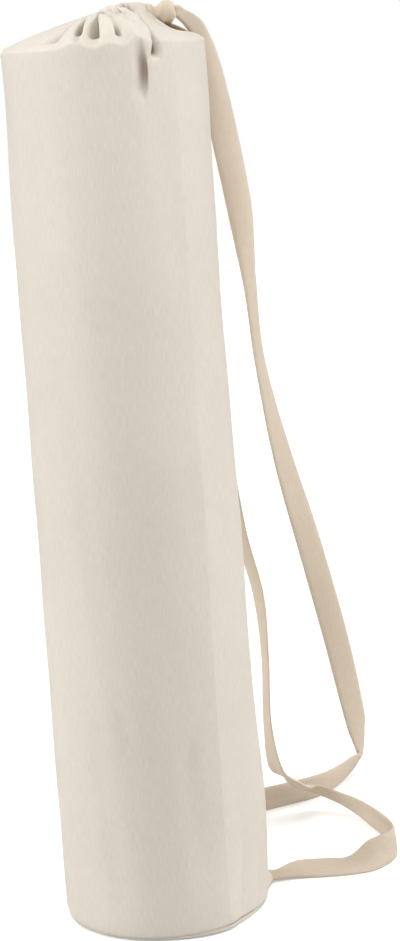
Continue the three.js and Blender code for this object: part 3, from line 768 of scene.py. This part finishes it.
def cloth_material(name, light, dark, thread, fleck_spacing, sheen, stitch_middle, stitch_apart):
    # Cotton cloth: threads, slubs, slow changes of tone and a few flecks, with painted shade darkening the
    # colour in the folds
    made, nodes, links, shader = new_material(name)
    tree = made.node_tree
    flat_map = nodes.new("ShaderNodeUVMap")
    flat_map.uv_map = "cloth"
    threads = nodes.new("ShaderNodeGroup")
    threads.node_tree = weave
    threads.inputs["Thread"].default_value = thread
    links.new(flat_map.outputs[0], threads.inputs["Cloth"])
    place = nodes.new("ShaderNodeTexCoord")
    tone = nodes.new("ShaderNodeTexNoise")
    tone.inputs["Scale"].default_value = 9.0
    tone.inputs["Detail"].default_value = 4.0
    links.new(place.outputs["Object"], tone.inputs["Vector"])
    shade = math_node(tree, "ADD", math_node(tree, "MULTIPLY", threads.outputs["Shade"], 0.6),
                      math_node(tree, "MULTIPLY", tone.outputs["Fac"], 0.4))
    colour = nodes.new("ShaderNodeMix")
    colour.data_type = "RGBA"
    colour.inputs["A"].default_value = (*dark, 1.0)
    colour.inputs["B"].default_value = (*light, 1.0)
    spread = nodes.new("ShaderNodeMapRange")
    spread.inputs["From Min"].default_value = 0.3
    spread.inputs["From Max"].default_value = 0.7
    links.new(shade, spread.inputs["Value"])
    links.new(spread.outputs[0], colour.inputs["Factor"])
    fleck = nodes.new("ShaderNodeGroup")
    fleck.node_tree = flecks
    fleck.inputs["Spacing"].default_value = fleck_spacing
    links.new(place.outputs["Object"], fleck.inputs["Place"])
    flecked = nodes.new("ShaderNodeMix")
    flecked.data_type = "RGBA"
    flecked.inputs["B"].default_value = (0.45, 0.36, 0.26, 1.0)
    links.new(colour.outputs["Result"], flecked.inputs["A"])
    links.new(fleck.outputs["Mask"], flecked.inputs["Factor"])
    # Painted shade: the colour is multiplied towards a warm brown where the mesh's fold shade attribute
    # says little light gets in
    painted_shade_part = nodes.new("ShaderNodeAttribute")
    painted_shade_part.attribute_name = "painted_shade"
    painted_shade_mix = nodes.new("ShaderNodeMix")
    painted_shade_mix.data_type = "RGBA"
    painted_shade_mix.blend_type = "MULTIPLY"
    painted_shade_mix.inputs["B"].default_value = (0.50, 0.42, 0.34, 1.0)
    links.new(painted_shade_part.outputs["Fac"], painted_shade_mix.inputs["Factor"])
    links.new(flecked.outputs["Result"], painted_shade_mix.inputs["A"])
    links.new(painted_shade_mix.outputs["Result"], shader.inputs["Base Color"])
    rough = math_node(tree, "SUBTRACT", 0.98, math_node(tree, "MULTIPLY", threads.outputs["Height"], 0.14))
    links.new(rough, shader.inputs["Roughness"])
    raised = nodes.new("ShaderNodeBump")
    raised.inputs["Strength"].default_value = 0.7
    raised.inputs["Distance"].default_value = 0.00022
    surface = math_node(tree, "ADD", threads.outputs["Height"],
                        math_node(tree, "MULTIPLY", threads.outputs["Shade"], 1.6))
    stitches = nodes.new("ShaderNodeGroup")
    stitches.node_tree = stitching
    stitches.inputs["Middle"].default_value = stitch_middle
    stitches.inputs["Apart"].default_value = stitch_apart
    links.new(flat_map.outputs[0], stitches.inputs["Cloth"])
    stitch_top = math_node(tree, "MULTIPLY", stitches.outputs["Thread"], stitch_raise)
    groove_foot = math_node(tree, "MULTIPLY", stitches.outputs["Groove"], groove_sink)
    sewn = math_node(tree, "SUBTRACT", stitch_top, groove_foot)
    surface = math_node(tree, "ADD", surface, sewn)
    links.new(surface, raised.inputs["Height"])
    links.new(raised.outputs[0], shader.inputs["Normal"])
    shader.inputs["Specular IOR Level"].default_value = 0.15
    shader.inputs["Sheen Weight"].default_value = sheen
    shader.inputs["Sheen Roughness"].default_value = 0.5
    return made


canvas_material = cloth_material(
    "natural_canvas", (0.74, 0.685, 0.605), (0.66, 0.60, 0.515), 0.00055, 0.03, 0.12,
    tube_width / 2, 0.004,
)
bag_cloth.data.materials.append(canvas_material)
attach(bag_cloth, "root")
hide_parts("bag_body")


# The round base panel: a disc of the same canvas, sewn to the tube with its edge turned up, so that
# the seam shows as a thin lip, widest where it rolls up at the front right. It takes the tube's own
# material, whose two rows of stitches run in to its middle from the back.
seam_round = 0.0036
panel_rows = 12
panel_steps = 26
panel_inner_every = 5


def seam_radius(turn):
    z = seam_top(turn)
    return side_radius(z) + side_form(turn, z)


def panel_ring(inset, lift):
    angle = np.radians(turns)
    out = seam_radius(turns) - inset
    z = lift * (seam_top(turns) - touch / 2)
    return np.stack([out * np.sin(angle), -out * np.cos(angle), z], axis=-1)


panel_shares = np.linspace(0.02, 0.93, panel_steps)
panel_rings = [panel_ring(seam_radius(turns) * (1 - share), 0.0) for share in panel_shares]
for step in range(panel_rows + 1):
    bend = math.pi / 2 * step / panel_rows
    panel_rings.append(panel_ring(seam_round * (1 - math.sin(bend)), 1 - math.cos(bend)))
panel_rings.append(panel_ring(canvas, 1.0))
panel_inner = [panel_ring(inset, canvas / seam_height) for inset in (seam_round, 3 * seam_round)]
panel_inner += [
    np.concatenate([ring[:, :2], np.full((len(turns), 1), canvas)], axis=1)
    for ring in panel_rings[:panel_steps][::-1][::panel_inner_every]
]
panel_rings += [np.minimum(ring, [np.inf, np.inf, canvas]) for ring in panel_inner]
base_panel = grid_piece("round_base", panel_rings, tube_places, ring_steps(panel_rings, False), False)
base_panel.data.materials.append(canvas_material)
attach(base_panel, "root")
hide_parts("base_panel")


# The strands of the tape: canvas folded to a flat strip 24 mm wide and stitched through. Both leave
# the knot rolled tight, hang down, lie on the floor and are sewn into the base seam. The flat map
# runs round both faces, so each face has one row of stitches, a little off its middle.
tape_width = 0.024
tape_thickness = 0.0022
row_off_middle = 0.0022
rolled_width = 0.36
rolled_thick = 2.2
exit_outs = (0.5, 1.2)
sewn_rise = 62
sewn_thick = 1.6
knot_radius = 0.0084
knot_seat = 1.0
knot_reach = 1.25
knot_back = 0.36
strand_step = 0.0022
section_points = 14
tape_ripples = [
    dict(high=0.00035, length=0.034, start=1.1),
    dict(high=0.00022, length=0.013, start=0.0),
]


def crown_top_at(x):
    foot = hem_point(np.array([90.0]), 0.0)[0, 0]
    inward = min(max((rim_radius - x) / (rim_radius - foot), 0.0), 1.0)
    return crown_point(np.array([90.0]), inward)[0, 2]


knot_x = mouth_offset + mouth_length / 2 + hem_roll + knot_reach * knot_radius
knot_z = crown_top_at(knot_x) + knot_seat * knot_radius
knot_centre = np.array([knot_x, knot_back * knot_radius, knot_z])

# x and y are shares of base_radius and low the height of the lowest edge as a share of bag_height.
# face is the direction of the tape's width seen from above, in degrees from +X, rise its angle above
# level, wide and thick shares of the tape's size, cup how far the strip is bowed across its width.
strand_columns = ("x", "y", "low", "face", "rise", "wide", "thick", "cup")
long_route = [
    (0.765, 0.13, 1.0175, 188, -76, 0.40, 1.9, 0.0),
    (0.845, 0.30, 1.0085, 190, -58, 0.5, 1.6, 0.05),
    (0.925, 0.54, 0.996, 194, -42, 0.62, 1.3, 0.1),
    (0.99, 0.66, 0.972, 200, -24, 0.78, 1.1, 0.16),
    (1.045, 0.75, 0.94, 207, -8, 0.9, 1.0, 0.18),
    (1.10, 0.86, 0.9, 214, 0, 1, 1, 0.16),
    (1.25, 1.26, 0.79, 218, 0, 1, 1, 0.16),
    (1.32, 1.5, 0.70, 245, 0, 1, 1, 0.18),
    (1.38, 1.8, 0.60, 250, 0, 1, 1, 0.12),
    (1.57, 2.14, 0.47, 230, 0, 1, 1, 0.05),
    (1.83, 2.51, 0.34, 213, 0, 1, 1, 0.05),
    (2.09, 2.88, 0.20, 208, 0, 1, 1, 0.05),
    (2.27, 3.17, 0.085, 220, 12, 1, 1, 0.04),
    (2.315, 3.28, 0.050, 234, 20, 0.9, 1, 0.0),
    (2.335, 3.36, 0.027, 246, 27, 0.7, 1.1, 0.0),
    (2.32, 3.36, 0.012, 264, 40, 0.66, 1.1, 0.0),
    (2.265, 3.24, 0.002, 288, 54, 0.85, 1, 0.0),
    (2.17, 3.06, 0, 314, 66, 1, 1, 0.02),
    (2.0, 2.76, 0, 326, 73, 1, 1, 0.05),
    (1.78, 2.52, 0, 316, 74, 1, 1, 0.05),
    (1.43, 2.34, 0, 298, 74, 1, 1, 0.05),
    (1.0, 2.15, 0, 294, 76, 1, 1, 0.05),
    (0.5, 1.9, 0, 305, 80, 1, 1, 0.05),
    (0.14, 1.45, 0, 350, 76, 0.75, 1.1, 0.08),
]
short_route = [
    (0.60, 0.28, 1.0145, 342, 3, 0.42, 1.2, 0.0),
    (0.68, 0.46, 1.0100, 335, 2, 0.5, 1.1, 0.0),
    (0.75, 0.62, 1.0028, 330, 2, 0.62, 1.05, 0.03),
    (0.80, 0.78, 0.975, 322, 0, 0.8, 1.1, 0.1),
    (0.79, 0.80, 0.88, 316, 0, 1, 1, 0.1),
    (0.82, 0.80, 0.72, 314, 0, 1, 1, 0.05),
    (0.86, 0.92, 0.56, 308, 0, 1, 1, 0.05),
    (1.0, 1.12, 0.42, 296, 0, 1, 1, 0.05),
    (1.16, 1.23, 0.33, 289, 0, 1, 1, 0.05),
    (1.2, 1.34, 0.24, 279, 0, 1, 1, 0.05),
    (1.19, 1.46, 0.15, 281, 0, 1, 1, 0.05),
    (1.26, 1.62, 0.08, 298, 0, 1, 1, 0.05),
    (1.44, 1.86, 0.053, 304, -2, 1, 1, 0.05),
    (1.64, 2.04, 0.0285, 286, 30, 1, 1, 0.0),
    (1.86, 2.02, 0.012, 254, 46, 1, 1, 0.0),
    (2.03, 1.86, 0.003, 222, 60, 1, 1, 0.04),
    (2.16, 1.6, 0, 204, 72, 1, 1, 0.04),
    (2.3, 1.18, 0, 196, 80, 1, 1, 0.04),
    (2.37, 0.78, 0, 170, 86, 1, 1, 0.0),
    (2.31, 0.56, 0, 110, 82, 1, 1, 0.0),
    (2.14, 0.44, 0, 94, 58, 1, 1, 0.03),
    (1.9, 0.4, 0, 94, 16, 1, 1, 0.05),
    (1.66, 0.38, 0, 92, 17, 0.95, 1, 0.06),
    (1.42, 0.35, 0, 92, 30, 0.75, 1.2, 0.08),
]
short_end_turn = 103
long_end_turn = 180


def knot_exit(direction, face, rise, drop):
    way = math.radians(direction)
    stations = []
    for share in exit_outs:
        out = share * knot_radius
        x = knot_centre[0] + out * math.cos(way)
        y = knot_centre[1] + out * math.sin(way)
        low = knot_centre[2] - drop * knot_radius
        stations.append((x, y, low, face, rise, rolled_width, rolled_thick, 0.0))
    return stations


def sewn_end(turn, flip):
    low = seam_height / 2
    top = low + rolled_width * tape_width
    turn_array = np.array([float(turn)])
    out = max(float(side_radius(z) + side_form(turn_array, z)[0]) for z in (low, top))
    stations = []
    for reach in (out + rolled_width * tape_width, out - touch):
        x, y, _ = around(turn_array, reach, 0)[0]
        stations.append((x, y, low, turn + flip, sewn_rise, rolled_width, sewn_thick, 0.0))
    return stations


def smooth_along(values, shares):
    last = len(values) - 1
    k = np.minimum(np.floor(shares * last).astype(int), last - 1)
    f = shares * last - k
    a, b, c, d = (values[np.clip(k + step, 0, last)] for step in (-1, 0, 1, 2))
    bow = 2 * a - 5 * b + 4 * c - d
    twist = 3 * b - a - 3 * c + d
    return (2 * b + (c - a) * f + bow * f ** 2 + twist * f ** 3) / 2


def strand_piece(name, first, route, last):
    # Sweeps the flat section from station to station; each section stands on its lowest edge
    scaled = [
        (x * base_radius, y * base_radius, low * bag_height, *rest)
        for x, y, low, *rest in route
    ]
    stations = np.array(first + scaled + last, float)
    column = {key: stations[:, index] for index, key in enumerate(strand_columns)}

    def sections(shares):
        at = {key: smooth_along(values, shares) for key, values in column.items()}
        rise, face = np.radians(at["rise"]), np.radians(at["face"])
        across = np.stack([
            np.cos(rise) * np.cos(face),
            np.cos(rise) * np.sin(face),
            np.sin(rise),
        ], axis=1)
        half_wide = at["wide"] * tape_width / 2
        half_thick = at["thick"] * tape_thickness / 2
        z = np.maximum(at["low"], 0) + half_wide * np.abs(across[:, 2]) + half_thick * np.cos(rise)
        return at, across, half_wide, half_thick, np.stack([at["x"], at["y"], z], axis=1)

    rough = sections(np.linspace(0, 1, 400))[4]
    length = float(np.linalg.norm(np.diff(rough, axis=0), axis=1).sum())
    shares = np.linspace(0, 1, int(length / strand_step))
    at, across, half_wide, half_thick, middle = sections(shares)
    along = sections(np.minimum(shares + 0.002, 1))[4] - sections(np.maximum(shares - 0.002, 0))[4]
    along /= np.linalg.norm(along, axis=1, keepdims=True)
    across -= along * (across * along).sum(axis=1, keepdims=True)
    across /= np.linalg.norm(across, axis=1, keepdims=True)
    up = np.cross(along, across)
    reach = half_wide * np.abs(across[:, 2]) + half_thick * np.abs(up[:, 2])
    middle[:, 2] = np.maximum(smooth_along(column["low"], shares), 0) + reach
    ripple = sum(
        row["high"] * np.sin(shares * length / row["length"] + row["start"])
        for row in tape_ripples
    )
    sides = np.linspace(-1, 1, section_points)
    upper = [(side, 1) for side in sides]
    lower = [(side, -1) for side in sides[::-1]]
    rings = []
    profile = upper + lower
    for side, face in profile:
        edge = (1 - min(abs(side), 0.999) ** 7) ** 0.5
        bowed = at["cup"] * half_wide * (side * side - 0.4) * 1.2
        lift = face * half_thick * (0.25 + 0.75 * edge) * (1 if abs(side) < 0.999 else 0.4)
        raised = lift + bowed + ripple * (1 - side * side)
        rings.append(middle + across * (side * half_wide)[:, None] + up * raised[:, None])
    points = np.stack(rings, axis=1)
    points[:, :, 2] = np.maximum(points[:, :, 2], 0.0)
    lines = [points[index] for index in range(len(shares))]
    places_across = np.linspace(0, 2 * tape_width, len(profile) + 1)
    return grid_piece(name, lines, places_across, ring_steps(lines, False), False), length


tape_material = cloth_material(
    "tape_canvas", (0.73, 0.62, 0.50), (0.65, 0.545, 0.42), 0.0005, 0.05, 0.15,
    tape_width, tape_width / 2 - row_off_middle,
)
for name, node, first, route, last in (
    ("tape_long", "strap_long", knot_exit(8, 188, -85, 0.55), long_route, sewn_end(long_end_turn, 180)),
    ("tape_short", "strap_short", knot_exit(78, 345, 5, 0.95), short_route, sewn_end(short_end_turn, 0)),
):
    strand, strand_length = strand_piece(name, first, route, last)
    strand.data.materials.append(tape_material)
    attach(strand, "root")
    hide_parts(node)


# The knot: the two strands come out of the hem together and make one overhand knot close to it. The
# folded canvas is squeezed round, so the knot is a fat turn on the right and a tighter one beside it.
knot_turns = [
    dict(x=-1.1, ring=0.46, thick=0.38, tilt=16, lean=62),
    dict(x=0.0, ring=0.48, thick=0.48, tilt=-8, lean=97),
    dict(x=0.45, ring=0.40, thick=0.52, tilt=14, lean=84),
]
knot_core = [
    dict(x=-1.7, y=0.0, z=-0.2, wide=0.40),
    dict(x=-1.0, y=0.0, z=-0.1, wide=0.50),
    dict(x=0.0, y=0.0, z=0.0, wide=0.60),
    dict(x=0.85, y=0.05, z=0.05, wide=0.48),
]
knot_voxel = 0.0006
knot_crease = 0.08
knot_pleat = 0.07
core_lobes = 0.06


def knot_ring(row):
    steps, sides = 48, 16
    tilt, lean = math.radians(row["tilt"]), math.radians(row["lean"])
    points, faces = [], []
    for step in range(steps):
        angle = 2 * math.pi * step / steps
        crease = 1 - knot_crease * math.sin(3 * angle + row["x"] * 4)
        for side in range(sides):
            turn = 2 * math.pi * side / sides
            pleat = 1 + knot_pleat * math.cos(4 * turn + 2 * angle)
            out = row["ring"] + row["thick"] * crease * pleat * math.cos(turn)
            points.append(Vector((
                out * math.cos(angle),
                out * math.sin(angle),
                row["thick"] * crease * pleat * math.sin(turn),
            )) * knot_radius)
            faces.append((
                step * sides + side,
                (step + 1) % steps * sides + side,
                (step + 1) % steps * sides + (side + 1) % sides,
                step * sides + (side + 1) % sides,
            ))
    turned = Matrix.Rotation(tilt, 4, "X") @ Matrix.Rotation(lean, 4, "Y")
    shift = Vector((row["x"] * knot_radius, 0, 0))
    return [turned @ point + shift + Vector(knot_centre) for point in points], faces


knot_points, knot_faces = [], []
for row in knot_turns:
    points, faces = knot_ring(row)
    start = len(knot_points)
    knot_points += points
    knot_faces += [tuple(start + corner for corner in face) for face in faces]
core_sides, core_steps = 16, 20
core_start = len(knot_points)
core_shares = np.linspace(0, 1, core_steps)
core = {
    key: smooth_along(np.array([row[key] for row in knot_core]), core_shares)
    for key in knot_core[0]
}
for step in range(core_steps):
    for side in range(core_sides):
        turn = 2 * math.pi * side / core_sides
        out = core["wide"][step] * (1 + core_lobes * math.cos(3 * turn + 2 * core_shares[step]))
        knot_points.append(Vector(knot_centre) + knot_radius * Vector((
            core["x"][step],
            core["y"][step] + out * math.cos(turn),
            core["z"][step] + out * math.sin(turn),
        )))
for step in range(core_steps - 1):
    for side in range(core_sides):
        a = core_start + step * core_sides + side
        b = core_start + step * core_sides + (side + 1) % core_sides
        knot_faces.append((b, a, a + core_sides, b + core_sides))
knot_faces.append(tuple(core_start + side for side in range(core_sides)))
knot_faces.append(tuple(len(knot_points) - 1 - side for side in range(core_sides)))
knot_data = bpy.data.meshes.new("tape_knot")
knot_data.from_pydata(knot_points, [], knot_faces)
knot = bpy.data.objects.new("tape_knot", knot_data)
bpy.context.scene.collection.objects.link(knot)
fused = knot.modifiers.new("fused", "REMESH")
fused.mode = "VOXEL"
fused.voxel_size = knot_voxel
smoothed = knot.modifiers.new("smoothed", "SMOOTH")
smoothed.factor = 0.5
smoothed.iterations = 4
bpy.context.view_layer.update()
knot_shape = bpy.data.meshes.new_from_object(knot.evaluated_get(bpy.context.evaluated_depsgraph_get()))
knot.modifiers.clear()
knot.data = knot_shape
knot.data.polygons.foreach_set("use_smooth", np.ones(len(knot.data.polygons), bool))
knot_map = knot.data.uv_layers.new(name="cloth")
corner_points = np.array([knot.data.vertices[loop.vertex_index].co[:] for loop in knot.data.loops])
knot_map.data.foreach_set("uv", corner_points[:, [0, 2]].astype(np.float32).ravel())
knot.data.materials.append(tape_material)
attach(knot, "root")
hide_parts("strap_knot")
